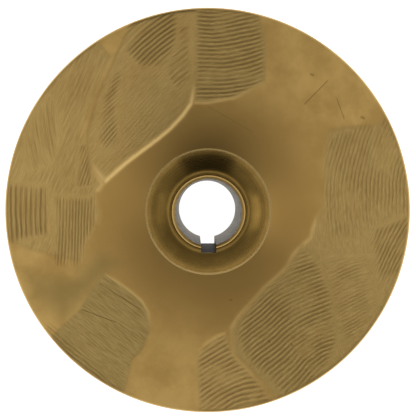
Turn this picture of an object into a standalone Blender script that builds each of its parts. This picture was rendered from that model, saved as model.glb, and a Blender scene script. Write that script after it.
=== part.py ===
"""Enclosed bronze wheel (impeller) of a boat's water-jet drive, as an assembly of its separate pieces.

Units are metres and +Z is up, along the shaft axis, towards the drive side. The wheel lies on its inlet eye, and
the origin is on the axis at that lowest plane. The keyway is on the -Y side.

Pieces: a hub with a domed boss, a tapered sleeve in its bore, the back shroud, six curved vanes, the front shroud
with the inlet eye, a wear ring on the eye's neck, and the three set screws that lock the ring.

A profile is a closed list of (radius, depth) points, where depth is measured down from the plane of the bore's
mouth. It is turned about the Z axis.
"""

import math

import bmesh
import bpy
from mathutils import Matrix, Vector

# ---- Driving dimensions ------------------------------------------------------------------------------------------

HEIGHT = 0.064
OUTER_RADIUS = 0.1085
TURNED_STEPS = 60  # facets round each turned piece; a multiple of four and of the vane count
GAP = 0.0003  # room left between pieces that touch

# Sleeve and keyway, for a 1 3/8 inch shaft.
BORE_MOUTH_RADIUS = 0.01746
BORE_TAPER = 1 / 16  # change of diameter along the bore
SLEEVE_OUTER_RADIUS = 0.0193
MOUTH_CHAMFER = 0.0011
KEYWAY_WIDTH = 0.00794
KEYWAY_DEPTH = 0.0037  # below the bore's wall

# Hub, from its mouth to its nose in the inlet eye.
HUB_LENGTH = 0.058
LIP_RADIUS = 0.0205
BOSS_RADIUS = 0.0324
BOSS_DROP = 0.0080
BOSS_ROUNDING = 1.6  # power of the boss's fall: level at the lip, steepest at its foot
BOSS_STEPS = 6
HUB_RADIUS = 0.0331  # the boss's foot ends in a narrow turned land
NOSE_TIP_RADIUS = 0.0240
EDGE_CHAMFER = 0.0007

# Outer face of the back shroud: steep beside the hub, nearly level at the rim.
FACE_SLOPE_AT_HUB = math.tan(math.radians(20.0))
FACE_SLOPE_AT_RIM = math.tan(math.radians(4.0))
FACE_FLARE = 0.030  # radial distance over which the steep part dies away
FACE_RADII = (0.0365, 0.0410, 0.0470, 0.0550, 0.0660, 0.0800, 0.0940)

# The two walls of the water passage: depth at the rim, and the quarter ellipse that turns each to the eye.
HUB_WALL_RIM_DEPTH = 0.0275
HUB_WALL_ARC = (0.062, 0.054, 0.038, 0.0315)  # centre radius, centre depth, radial half axis, axial half axis
FRONT_WALL_RIM_DEPTH = 0.0425
FRONT_WALL_ARC = (0.068, 0.059, 0.0185, 0.0150)
ARC_STEPS = 8

# Front shroud, its neck and the wear ring.
SHROUD_RIM_THICKNESS = 0.0050
SHROUD_OUTSIDE_MID = (0.084, 0.0500)
SHROUD_OUTSIDE_INNER = (0.0685, 0.0520)
NECK_RADIUS = 0.0540
SEAT_DEPTH = 0.0555  # the shoulder that the wear ring stands on
RING_RADIUS = 0.0595

# Set screws, half in the neck and half in the ring.
SCREW_ANGLES = (30.0, 150.0, 270.0)
SCREW_RADIUS = 0.0019
SCREW_LENGTH = 0.0062
SCREW_SINK = 0.0005
SCREW_STEPS = 16
SLOT_WIDTH = 0.0007
SLOT_DEPTH = 0.0010

# Vanes.
VANE_COUNT = 6
VANE_THICKNESS = 0.0034
VANE_EDGE_THICKNESS = 0.0022
VANE_EDGE_SHARE = 0.15  # how much of the vane's run it takes to reach full thickness
VANE_ANGLE_INNER = math.radians(31.0)  # between the vane and the circle, at its inner end
VANE_ANGLE_OUTER = math.radians(23.0)
VANE_INNER_RADIUS = 0.027
VANE_OUTER_RADIUS = 0.1082
VANE_OVERRUN = 0.003  # the plate runs this far past its trimmed end
VANE_STEPS = 20
VANE_PLATE_DEPTHS = (0.020, 0.062)  # the plate before it is trimmed to the passage
LEADING_EDGE_ON_HUB = math.radians(62.0)  # how far round each wall's ellipse the leading edge starts
LEADING_EDGE_ON_FRONT = math.radians(60.0)

CUTTER_REACH = 0.010  # how far a cutter runs past the wall that it cuts
SHARP_ANGLE = math.radians(28.0)

# ---- Materials: colour, roughness, metallic ----------------------------------------------------------------------

FINISHES = {
    "hub_bronze": ((0.36, 0.24, 0.09, 1.0), 0.30, 1.0),
    "ground_bronze": ((0.45, 0.31, 0.12, 1.0), 0.40, 1.0),
    "cast_bronze": ((0.38, 0.26, 0.10, 1.0), 0.50, 1.0),
    "sleeve_brass": ((0.42, 0.37, 0.26, 1.0), 0.28, 1.0),
    "ring_bronze": ((0.50, 0.36, 0.16, 1.0), 0.28, 1.0),
    "screw_steel": ((0.45, 0.45, 0.44, 1.0), 0.35, 1.0),
}


def finish(name):
    """The named material, made once."""
    found = bpy.data.materials.get(name)
    if found:
        return found
    colour, roughness, metallic = FINISHES[name]
    made = bpy.data.materials.new(name)
    made.use_nodes = True
    shader = made.node_tree.nodes["Principled BSDF"]
    shader.inputs["Base Color"].default_value = colour
    shader.inputs["Roughness"].default_value = roughness
    shader.inputs["Metallic"].default_value = metallic
    made.diffuse_color = colour
    return made


# ---- Making objects ----------------------------------------------------------------------------------------------


def clear_scene():
    """Removes every object of the open file."""
    for found in list(bpy.data.objects):
        bpy.data.objects.remove(found, do_unlink=True)


def object_from(bm, name, material=None, rounded=True):
    """Links a new object holding the bmesh, with outward normals, and frees the bmesh."""
    bmesh.ops.recalc_face_normals(bm, faces=bm.faces)
    mesh = bpy.data.meshes.new(name)
    bm.to_mesh(mesh)
    bm.free()
    if rounded:
        mesh.shade_smooth()
        mesh.set_sharp_from_angle(angle=SHARP_ANGLE)
    made = bpy.data.objects.new(name, mesh)
    bpy.context.scene.collection.objects.link(made)
    if material:
        mesh.materials.append(finish(material))
    return made


def turned_mesh(profile):
    """A bmesh of the closed profile turned once about the Z axis."""
    bm = bmesh.new()
    corners = [bm.verts.new((radius, 0.0, HEIGHT - depth)) for radius, depth in profile]
    edges = [bm.edges.new((corners[i - 1], corners[i])) for i in range(len(corners))]
    bmesh.ops.spin(
        bm,
        geom=corners + edges,
        cent=(0.0, 0.0, 0.0),
        axis=(0.0, 0.0, 1.0),
        dvec=(0.0, 0.0, 0.0),
        angle=math.tau,
        steps=TURNED_STEPS,
        use_merge=True,
    )
    return bm


def cylinder_mesh(radius, top_depth, bottom_depth, place=Matrix.Identity(4)):
    """A bmesh of an upright cylinder between two depths, moved by place."""
    bm = bmesh.new()
    middle = Matrix.Translation((0.0, 0.0, HEIGHT - (top_depth + bottom_depth) / 2))
    bmesh.ops.create_cone(
        bm,
        cap_ends=True,
        segments=SCREW_STEPS,
        radius1=radius,
        radius2=radius,
        depth=bottom_depth - top_depth,
        matrix=place @ middle,
    )
    return bm


def box_mesh(low, high):
    """A bmesh of an axis-aligned box between two corners."""
    low, high = Vector(low), Vector(high)
    size = Matrix.Diagonal((*(high - low), 1.0))
    bm = bmesh.new()
    bmesh.ops.create_cube(bm, size=1.0, matrix=Matrix.Translation((low + high) / 2) @ size)
    return bm


def cutter_from(bm, name):
    """A helper object that modifiers read and nothing shows."""
    made = object_from(bm, name, rounded=False)
    made.hide_render = True
    made.display_type = "WIRE"
    return made


def boolean(target, other, operation="DIFFERENCE"):
    """Adds a Boolean modifier that applies the other object to the target."""
    modifier = target.modifiers.new(operation.title() + " " + other.name, "BOOLEAN")
    modifier.operation = operation
    modifier.object = other
    modifier.solver = "EXACT"


# ---- Shapes of the faces and the passage -------------------------------------------------------------------------


def bore_radius(depth):
    """The radius of the tapered bore at a depth."""
    return BORE_MOUTH_RADIUS - BORE_TAPER * depth / 2


def boss_point(share):
    """The point of the boss's dome at a share of the way from its lip to its foot."""
    return (LIP_RADIUS + (BOSS_RADIUS - LIP_RADIUS) * share, BOSS_DROP * share**BOSS_ROUNDING)


def face_depth(radius):
    """The depth of the back shroud's outer face at a radius beyond the hub."""
    out = radius - HUB_RADIUS
    flare = (FACE_SLOPE_AT_HUB - FACE_SLOPE_AT_RIM) * FACE_FLARE
    return BOSS_DROP + FACE_SLOPE_AT_RIM * out + flare * (1.0 - math.exp(-out / FACE_FLARE))


def arc_points(arc, first=0.0, last=math.radians(90.0), steps=ARC_STEPS, offset=0.0):
    """Points of a wall's quarter ellipse between two angles, moved off the wall towards its centre by offset."""
    centre_radius, centre_depth, half_radial, half_axial = arc
    points = []
    for step in range(steps + 1):
        angle = first + (last - first) * step / steps
        inward = Vector((math.sin(angle) / half_radial, math.cos(angle) / half_axial)).normalized() * offset
        points.append(
            (
                centre_radius - half_radial * math.sin(angle) + inward.x,
                centre_depth - half_axial * math.cos(angle) + inward.y,
            )
        )
    return points


def arc_angle_at(arc, radius):
    """How far round a wall's quarter ellipse it reaches a radius."""
    centre_radius, _, half_radial, _ = arc
    return math.asin((centre_radius - radius) / half_radial)


# ---- Pieces ------------------------------------------------------------------------------------------------------


def make_keyway_cutter():
    """A bar whose floor follows the bore's taper, longer than the hub."""
    top, bottom = HEIGHT + CUTTER_REACH, HEIGHT - HUB_LENGTH - CUTTER_REACH
    bm = box_mesh((-KEYWAY_WIDTH / 2, -1.0, bottom), (KEYWAY_WIDTH / 2, 0.0, top))
    for corner in bm.verts:
        radius = bore_radius(HEIGHT - corner.co.z)
        corner.co.y = -(radius + KEYWAY_DEPTH) if corner.co.y < -0.5 else -BORE_MOUTH_RADIUS / 2
    return cutter_from(bm, "keyway_cutter")


def make_hub(keyway):
    """The hub: the domed boss outside, and the nose that stands in the inlet eye."""
    seat = SLEEVE_OUTER_RADIUS + GAP
    foot_angle = arc_angle_at(HUB_WALL_ARC, HUB_RADIUS)
    profile = [(seat, HUB_LENGTH), (seat, EDGE_CHAMFER / 2), (seat + EDGE_CHAMFER / 2, 0.0)]
    profile += [boss_point(step / BOSS_STEPS) for step in range(BOSS_STEPS + 1)]
    profile += [(HUB_RADIUS, BOSS_DROP)]
    profile += arc_points(HUB_WALL_ARC, first=foot_angle, steps=ARC_STEPS - 2)
    profile += [(NOSE_TIP_RADIUS, HUB_LENGTH - EDGE_CHAMFER), (NOSE_TIP_RADIUS - EDGE_CHAMFER, HUB_LENGTH)]
    boolean(object_from(turned_mesh(profile), "hub", "hub_bronze"), keyway)


def make_sleeve(keyway):
    """The thin tapered sleeve in the hub's bore, slotted right through by the keyway."""
    end_radius = bore_radius(HUB_LENGTH)
    profile = [
        (BORE_MOUTH_RADIUS + MOUTH_CHAMFER, 0.0),
        (SLEEVE_OUTER_RADIUS, 0.0),
        (SLEEVE_OUTER_RADIUS, HUB_LENGTH),
        (end_radius + EDGE_CHAMFER, HUB_LENGTH),
        (end_radius, HUB_LENGTH - EDGE_CHAMFER),
        (bore_radius(MOUTH_CHAMFER), MOUTH_CHAMFER),
    ]
    boolean(object_from(turned_mesh(profile), "bore_sleeve", "sleeve_brass"), keyway)


def make_back_shroud():
    """The disc on the drive side: its flared outer face, its rim, and the passage's hub-side wall."""
    inner = HUB_RADIUS + GAP
    rim_depth = face_depth(OUTER_RADIUS - EDGE_CHAMFER)
    profile = [(radius, face_depth(radius)) for radius in (inner, *FACE_RADII)]
    profile += [(OUTER_RADIUS - EDGE_CHAMFER, rim_depth), (OUTER_RADIUS, rim_depth + EDGE_CHAMFER)]
    profile += [(OUTER_RADIUS, HUB_WALL_RIM_DEPTH)]
    profile += arc_points(HUB_WALL_ARC, last=arc_angle_at(HUB_WALL_ARC, inner), steps=ARC_STEPS - 3)
    object_from(turned_mesh(profile), "back_shroud", "ground_bronze")


def make_front_shroud(screw_holes):
    """The disc on the inlet side, with the eye and the neck that the wear ring sits on."""
    eye_radius = FRONT_WALL_ARC[0] - FRONT_WALL_ARC[2]
    outside_rim_depth = FRONT_WALL_RIM_DEPTH + SHROUD_RIM_THICKNESS
    profile = [(OUTER_RADIUS, FRONT_WALL_RIM_DEPTH)]
    profile += arc_points(FRONT_WALL_ARC)
    profile += [(eye_radius, HEIGHT - EDGE_CHAMFER), (eye_radius + EDGE_CHAMFER, HEIGHT)]
    profile += [(NECK_RADIUS - EDGE_CHAMFER, HEIGHT), (NECK_RADIUS, HEIGHT - EDGE_CHAMFER)]
    profile += [(NECK_RADIUS, SEAT_DEPTH), (RING_RADIUS + EDGE_CHAMFER, SEAT_DEPTH)]
    profile += [SHROUD_OUTSIDE_INNER, SHROUD_OUTSIDE_MID]
    profile += [(OUTER_RADIUS - EDGE_CHAMFER, outside_rim_depth), (OUTER_RADIUS, outside_rim_depth - EDGE_CHAMFER)]
    shroud = object_from(turned_mesh(profile), "front_shroud", "cast_bronze")
    for hole in screw_holes:
        boolean(shroud, hole)


def make_wear_ring(screw_holes):
    """The renewable ring that runs in the casing's bore."""
    inner, top = NECK_RADIUS + GAP, SEAT_DEPTH + GAP
    profile = [
        (inner, top),
        (inner, HEIGHT - EDGE_CHAMFER),
        (inner + EDGE_CHAMFER, HEIGHT),
        (RING_RADIUS - EDGE_CHAMFER, HEIGHT),
        (RING_RADIUS, HEIGHT - EDGE_CHAMFER),
        (RING_RADIUS, top + EDGE_CHAMFER),
        (RING_RADIUS - EDGE_CHAMFER, top),
    ]
    ring = object_from(turned_mesh(profile), "wear_ring", "ring_bronze")
    for hole in screw_holes:
        boolean(ring, hole)


def screw_place(angle_deg):
    """The turn and shift that carry a screw from the axis to its hole on the joint line."""
    joint_radius = NECK_RADIUS + GAP / 2
    return Matrix.Rotation(math.radians(angle_deg), 4, "Z") @ Matrix.Translation((joint_radius, 0.0, 0.0))


def make_screw_holes():
    """One cutter for each set screw's hole."""
    top = HEIGHT - SCREW_SINK - SCREW_LENGTH - GAP
    holes = []
    for number, angle in enumerate(SCREW_ANGLES, 1):
        bm = cylinder_mesh(SCREW_RADIUS + GAP, top, HEIGHT + CUTTER_REACH, screw_place(angle))
        holes.append(cutter_from(bm, f"screw_hole_{number}"))
    return holes


def make_screws():
    """The slotted set screws, with their heads down in the inlet face."""
    head = HEIGHT - SCREW_SINK
    for number, angle in enumerate(SCREW_ANGLES, 1):
        body = cylinder_mesh(SCREW_RADIUS, head - SCREW_LENGTH, head)
        screw = object_from(body, f"wear_ring_screw_{number}", "screw_steel")
        low = (-2 * SCREW_RADIUS, -SLOT_WIDTH / 2, SCREW_SINK - CUTTER_REACH)
        high = (2 * SCREW_RADIUS, SLOT_WIDTH / 2, SCREW_SINK + SLOT_DEPTH)
        slot = cutter_from(box_mesh(low, high), f"screw_slot_{number}")
        for made in (screw, slot):
            made.matrix_world = screw_place(angle)
        boolean(screw, slot)


def vane_camber():
    """Points of one vane's middle line in the XY plane, with their unit normals and thicknesses."""
    points = []
    turn, last_radius = 0.0, VANE_INNER_RADIUS
    for step in range(VANE_STEPS + 1):
        share = step / VANE_STEPS
        radius = VANE_INNER_RADIUS + (VANE_OUTER_RADIUS + VANE_OVERRUN - VANE_INNER_RADIUS) * share
        angle = VANE_ANGLE_INNER + (VANE_ANGLE_OUTER - VANE_ANGLE_INNER) * share
        turn += math.log(radius / last_radius) / math.tan(angle)
        last_radius = radius
        along = Vector((math.cos(turn), math.sin(turn)))
        across = Vector((-along.y, along.x))
        tangent = along * math.sin(angle) + across * math.cos(angle)
        grown = min(1.0, share / VANE_EDGE_SHARE)
        thickness = VANE_EDGE_THICKNESS + (VANE_THICKNESS - VANE_EDGE_THICKNESS) * grown
        points.append((along * radius, Vector((-tangent.y, tangent.x)), thickness))
    return points


def vane_plate():
    """A bmesh of the untrimmed curved plate that a vane is cut from."""
    camber = vane_camber()
    outline = [point + normal * thickness / 2 for point, normal, thickness in camber]
    outline += [point - normal * thickness / 2 for point, normal, thickness in reversed(camber)]
    top, bottom = VANE_PLATE_DEPTHS
    bm = bmesh.new()
    face = bm.faces.new([bm.verts.new((point.x, point.y, HEIGHT - bottom)) for point in outline])
    grown = bmesh.ops.extrude_face_region(bm, geom=[face])
    moved = [item for item in grown["geom"] if isinstance(item, bmesh.types.BMVert)]
    bmesh.ops.translate(bm, verts=moved, vec=(0.0, 0.0, bottom - top))
    return bm


def make_vane_envelope():
    """The turned space that the vanes fill: the passage, from the slanted leading edge to near the rim."""
    hub_side = arc_points(HUB_WALL_ARC, last=LEADING_EDGE_ON_HUB, offset=GAP)
    front_side = arc_points(FRONT_WALL_ARC, last=LEADING_EDGE_ON_FRONT, steps=ARC_STEPS - 3, offset=-GAP)
    profile = [(VANE_OUTER_RADIUS, HUB_WALL_RIM_DEPTH + GAP)] + hub_side
    profile += list(reversed(front_side)) + [(VANE_OUTER_RADIUS, FRONT_WALL_RIM_DEPTH - GAP)]
    return cutter_from(turned_mesh(profile), "vane_envelope")


def make_vanes():
    """The vanes: one plate mesh, turned to each place and trimmed to the passage."""
    envelope = make_vane_envelope()
    first = object_from(vane_plate(), "vane_1", "cast_bronze")
    vanes = [first]
    for number in range(2, VANE_COUNT + 1):
        vane = bpy.data.objects.new(f"vane_{number}", first.data)
        bpy.context.scene.collection.objects.link(vane)
        vanes.append(vane)
    for index, vane in enumerate(vanes):
        vane.matrix_world = Matrix.Rotation(math.tau * index / VANE_COUNT, 4, "Z")
        boolean(vane, envelope, "INTERSECT")


def main():
    """Builds the whole wheel."""
    clear_scene()
    keyway = make_keyway_cutter()
    holes = make_screw_holes()
    make_hub(keyway)
    make_sleeve(keyway)
    make_back_shroud()
    make_vanes()
    make_front_shroud(holes)
    make_wear_ring(holes)
    make_screws()


main()
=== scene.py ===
"""Looks of the enclosed bronze wheel of a boat's jet drive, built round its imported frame.

The drive side is up. The back disc is ground by hand in flat patches: their edges are in its mesh, and
the chatter inside them is in its finish. The boss is fine-turned, the sleeve is bored and cut by a
keyway, and the inlet side is cleaned casting.
"""

from __future__ import annotations

import logging
import math
from dataclasses import dataclass
from enum import Enum
from functools import cache

import bmesh
import bpy
import numpy as np
from mathutils import Matrix, Vector


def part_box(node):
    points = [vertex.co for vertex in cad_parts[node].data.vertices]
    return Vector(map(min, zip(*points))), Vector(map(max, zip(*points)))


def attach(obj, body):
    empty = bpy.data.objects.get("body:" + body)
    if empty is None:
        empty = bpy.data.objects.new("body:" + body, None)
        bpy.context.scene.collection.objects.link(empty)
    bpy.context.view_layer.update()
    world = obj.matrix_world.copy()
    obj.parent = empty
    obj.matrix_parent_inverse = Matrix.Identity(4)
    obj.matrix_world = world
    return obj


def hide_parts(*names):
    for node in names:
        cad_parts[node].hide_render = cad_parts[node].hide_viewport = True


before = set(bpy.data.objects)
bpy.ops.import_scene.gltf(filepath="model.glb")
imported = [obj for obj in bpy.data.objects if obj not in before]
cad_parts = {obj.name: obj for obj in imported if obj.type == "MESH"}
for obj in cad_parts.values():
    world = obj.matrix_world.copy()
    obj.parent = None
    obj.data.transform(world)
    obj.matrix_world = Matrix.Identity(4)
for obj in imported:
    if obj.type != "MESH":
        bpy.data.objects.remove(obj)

LOG = logging.getLogger("wheel")
BODY = "root"
MM = 0.001
SHARP_ANGLE = math.radians(32.0)
Point = tuple[float, float]
Colour = tuple[float, float, float, float]


# ---- Shader maths --------------------------------------------------------------------------------


class Value:
    """A shader socket that Python's operators work on."""

    def __init__(self, graph: Graph, socket: bpy.types.NodeSocket) -> None:
        """Wraps a socket.

        Args:
            graph: the graph that the socket's node is in.
            socket: the output socket to wrap.
        """
        self.graph = graph
        self.socket = socket

    def _maths(self, operation: str, *values: Value | float) -> Value:
        """One Math node on these values."""
        return self.graph.node("ShaderNodeMath", {"operation": operation}, dict(enumerate(values)))

    def __add__(self, other: Value | float) -> Value:
        """self + other."""
        return self._maths("ADD", self, other)

    def __radd__(self, other: float) -> Value:
        """other + self."""
        return self._maths("ADD", other, self)

    def __sub__(self, other: Value | float) -> Value:
        """self - other."""
        return self._maths("SUBTRACT", self, other)

    def __rsub__(self, other: float) -> Value:
        """other - self."""
        return self._maths("SUBTRACT", other, self)

    def __mul__(self, other: Value | float) -> Value:
        """self * other."""
        return self._maths("MULTIPLY", self, other)

    def __rmul__(self, other: float) -> Value:
        """other * self."""
        return self._maths("MULTIPLY", other, self)

    def __truediv__(self, other: Value | float) -> Value:
        """self / other."""
        return self._maths("DIVIDE", self, other)

    def __rtruediv__(self, other: float) -> Value:
        """other / self."""
        return self._maths("DIVIDE", other, self)

    def clamped(self) -> Value:
        """The value kept between 0 and 1."""
        return self.graph.node("ShaderNodeClamp", {}, {"Value": self})

    def sine(self) -> Value:
        """The sine of the value, in radians."""
        return self._maths("SINE", self)

    def ramp(self, low: float, high: float) -> Value:
        """The value eased from 0 at low to 1 at high.

        Args:
            low: the value that gives 0.
            high: the value that gives 1. It may be the smaller.

        Returns:
            The eased value, clamped.
        """
        if low > high:
            return 1.0 - self.ramp(high, low)
        settings = {"interpolation_type": "SMOOTHSTEP"}
        inputs = {"Value": self, "From Min": low, "From Max": high}
        return self.graph.node("ShaderNodeMapRange", settings, inputs)


class Graph:
    """The node graph of one material."""

    def __init__(self, material: bpy.types.Material) -> None:
        """Starts from the material's own Principled shader.

        Args:
            material: a material that uses nodes.
        """
        self.tree = material.node_tree
        self.shader = self.tree.nodes["Principled BSDF"]

    def node(
        self, kind: str, settings: dict | None = None, inputs: dict | None = None, output: int | str = 0
    ) -> Value:
        """Adds any node.

        Args:
            kind: the node's type.
            settings: attributes of the node, set first.
            inputs: values or links of its sockets, by name or index.
            output: the socket to hand back.

        Returns:
            The wanted output.
        """
        made = self.tree.nodes.new(kind)
        for name, value in (settings or {}).items():
            setattr(made, name, value)
        for name, value in (inputs or {}).items():
            self.feed(made.inputs[name], value)
        return Value(self, made.outputs[output])

    def feed(self, socket: bpy.types.NodeSocket, value: object) -> None:
        """Links a Value to a socket, or sets a plain value on it.

        Args:
            socket: the input socket.
            value: a Value, or a plain number, colour or vector.
        """
        if isinstance(value, Value):
            self.tree.links.new(value.socket, socket)
        else:
            socket.default_value = value

    def mix(self, share: Value | float, first: Value | Colour, second: Value | Colour) -> Value:
        """Mixes two colours.

        Args:
            share: how much of the second.
            first: the first colour.
            second: the second colour.

        Returns:
            The mixed colour.
        """
        return self.node("ShaderNodeMix", {"data_type": "RGBA"}, {0: share, 6: first, 7: second}, output=2)

    def vector(self, operation: str, *values: object, output: int | str = 0) -> Value:
        """One Vector Math node."""
        return self.node("ShaderNodeVectorMath", {"operation": operation}, dict(enumerate(values)), output)

    def millimetres(self) -> Value:
        """The place on the piece.

        Returns:
            The object coordinates, in millimetres.
        """
        place = self.node("ShaderNodeTexCoord", output="Object")
        scaled = self.vector("SCALE", place)
        self.feed(scaled.socket.node.inputs["Scale"], 1 / MM)
        return scaled

    def attribute(self, name: str, output: str = "Fac") -> Value:
        """A value that the mesh holds at each of its points."""
        return self.node("ShaderNodeAttribute", {"attribute_name": name}, output=output)

    def noise(self, place: Value, scale: float, detail: float = 2.0, roughness: float = 0.5) -> Value:
        """Noise from 0 to 1 on a place.

        Args:
            place: the coordinates to read.
            scale: features to each unit of the coordinates.
            detail: how many finer layers.
            roughness: how strong the finer layers are.

        Returns:
            The noise.
        """
        inputs = {"Vector": place, "Scale": scale, "Detail": detail, "Roughness": roughness}
        return self.node("ShaderNodeTexNoise", {}, inputs)

    def split(self, place: Value) -> tuple[Value, Value, Value]:
        """The three numbers of a vector."""
        parts = self.node("ShaderNodeSeparateXYZ", {}, {0: place}).socket.node
        return tuple(Value(self, parts.outputs[index]) for index in range(3))

    def join(self, x: Value | float, y: Value | float, z: Value | float) -> Value:
        """A vector of three numbers."""
        return self.node("ShaderNodeCombineXYZ", {}, {0: x, 1: y, 2: z})

    def bump(self, height: Value) -> Value:
        """The normal of a relief, whose height is in millimetres."""
        return self.node("ShaderNodeBump", {}, {"Strength": 1.0, "Distance": MM, "Height": height})


# ---- Finishes ------------------------------------------------------------------------------------


class Slot(Enum):
    """The record's material slots."""

    TURNED = "turned_bronze"
    SLEEVE = "sleeve_metal"
    GROUND = "ground_bronze"
    CAST = "cast_bronze"
    RING = "ring_bronze"
    SCREW = "screw_steel"


@dataclass(frozen=True)
class Finish:
    """A metal finish: its colours and how rough it is. Each kind of finish draws its own pattern."""

    name: str
    colour: Colour
    deep: Colour
    roughness: float

    def material(self) -> bpy.types.Material:
        """Makes the finish, or finds it if it is made already.

        Returns:
            The material.
        """
        found = bpy.data.materials.get(self.name)
        if found:
            return found
        made = bpy.data.materials.new(self.name)
        made.use_nodes = True
        graph = Graph(made)
        graph.shader.inputs["Metallic"].default_value = 1.0
        self.draw(graph)
        return made

    def draw(self, graph: Graph) -> None:
        """Draws the pattern and links it to the shader."""
        raise NotImplementedError

    def link(self, graph: Graph, colour: Value, roughness: Value, normal: Value) -> None:
        """Feeds the shader's three varying sockets.

        Args:
            graph: the material's graph.
            colour: the base colour.
            roughness: how rough the metal is.
            normal: the relief.
        """
        graph.feed(graph.shader.inputs["Base Color"], colour)
        graph.feed(graph.shader.inputs["Roughness"], roughness)
        graph.feed(graph.shader.inputs["Normal"], normal)


@dataclass(frozen=True)
class TurnedFinish(Finish):
    """Metal cut on a lathe: fine rings round the Z axis, with a slow stain.

    A hub also has a painted highlight round its foot, painted shade on its crown round the bore, and
    painted shade on the walls where the keyway is cut.
    """

    ring_height: float = 0.0016  # mm
    rings_per_mm: float = 3.0
    hub: bool = False
    # colour of the painted highlight round the boss's foot
    foot_highlight: Colour = (0.58, 0.395, 0.15, 1.0)
    # colour of the painted shade on the keyway's walls
    keyway: Colour = (0.060, 0.048, 0.034, 1.0)
    # colour of the painted shade on the boss's crown round the bore
    crown_shade: Colour = (0.115, 0.070, 0.017, 1.0)
    crown_radius: float = 27.0  # mm
    foot_radius: float = 32.5  # mm
    keyway_radius: float = 21.6  # mm
    lip_z: float = 63.7  # mm
    shoulder_z: float = 55.0  # mm

    def draw(self, graph: Graph) -> None:
        """Rings by radius and height, a stain, and a few pores.

        Args:
            graph: the material's graph.
        """
        place = graph.millimetres()
        x, y, z = graph.split(place)
        radius = graph.vector("LENGTH", graph.join(x, y, 0.0), output="Value")
        rings = graph.noise(graph.join(radius, z, 0.0), self.rings_per_mm, 3.0, 0.6)
        stain = graph.noise(place, 0.10, 4.0, 0.6)
        pores = graph.noise(place, 1.3, 2.0).ramp(0.73, 0.79)
        tone = rings.ramp(0.3, 0.7) * 0.35 + stain.ramp(0.35, 0.7) * 0.65
        colour = graph.mix(tone, self.deep, self.colour)
        colour = graph.mix(pores * 0.35, colour, self.deep)
        height = rings * self.ring_height - pores * self.ring_height * 4
        roughness = self.roughness + rings * 0.08
        if self.hub:
            boss = z.ramp(self.shoulder_z, self.shoulder_z + 0.2)
            below_lip = z.ramp(self.lip_z, self.lip_z - 0.1)
            # painted highlight: a bright ring round the foot of the boss
            foot_highlight = radius.ramp(self.foot_radius - 0.5, self.foot_radius) * boss
            # painted shade on the walls of the keyway
            keyway_shade_mask = radius.ramp(self.keyway_radius, self.keyway_radius - 0.05) * below_lip
            # painted shade on the boss's crown, darkest towards the bore
            crown_shade = radius.ramp(self.crown_radius, self.keyway_radius) * boss
            colour = graph.mix(crown_shade * 0.55, colour, self.crown_shade)
            colour = graph.mix(foot_highlight, colour, self.foot_highlight)
            colour = graph.mix(keyway_shade_mask, colour, self.keyway)
            roughness = roughness + keyway_shade_mask * 0.45
        self.link(graph, colour, roughness, graph.bump(height))


@dataclass(frozen=True)
class BoredFinish(Finish):
    """The grey bore with its tool lines, and the bright bevel at its mouth: polished metal with a painted
    highlight on it.
    """

    # bevel colour: polished metal brightened by a painted highlight
    bevel: Colour = (0.68, 0.46, 0.16, 1.0)
    mouth_z: float = 64.0  # mm
    bevel_depth: float = 1.25  # mm

    def draw(self, graph: Graph) -> None:
        """Tool lines by depth, grime, and the gold bevel, partly a painted highlight.

        Args:
            graph: the material's graph.
        """
        place = graph.millimetres()
        x, y, z = graph.split(place)
        lines = graph.noise(graph.join(x * 0.05, y * 0.05, z * 2.6), 1.0, 3.0, 0.65)
        grime = graph.noise(place, 0.35, 4.0, 0.6).ramp(0.4, 0.7)
        # the mouth's bevel, where the painted highlight goes
        mouth_highlight_mask = z.ramp(self.mouth_z - self.bevel_depth - 0.1, self.mouth_z - self.bevel_depth + 0.1)
        wall = graph.mix(lines.ramp(0.3, 0.7) * 0.6 + grime * 0.4, self.deep, self.colour)
        colour = graph.mix(mouth_highlight_mask, wall, self.bevel)
        self.link(graph, colour, self.roughness + grime * 0.15, graph.bump(lines * 0.006))


@dataclass(frozen=True)
class CastFinish(Finish):
    """Cleaned casting: a fine sand texture with tarnish in it."""

    def draw(self, graph: Graph) -> None:
        """Sand grain, broad unevenness and tarnish.

        Args:
            graph: the material's graph.
        """
        place = graph.millimetres()
        sand = graph.noise(place, 1.6, 4.0, 0.65)
        broad = graph.noise(place, 0.09, 3.0)
        tarnish = graph.noise(place, 0.22, 4.0, 0.6).ramp(0.38, 0.68)
        colour = graph.mix(tarnish * 0.7 + sand * 0.3, self.deep, self.colour)
        height = sand * 0.05 + broad * 0.25
        self.link(graph, colour, self.roughness + tarnish * 0.12, graph.bump(height))


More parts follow.
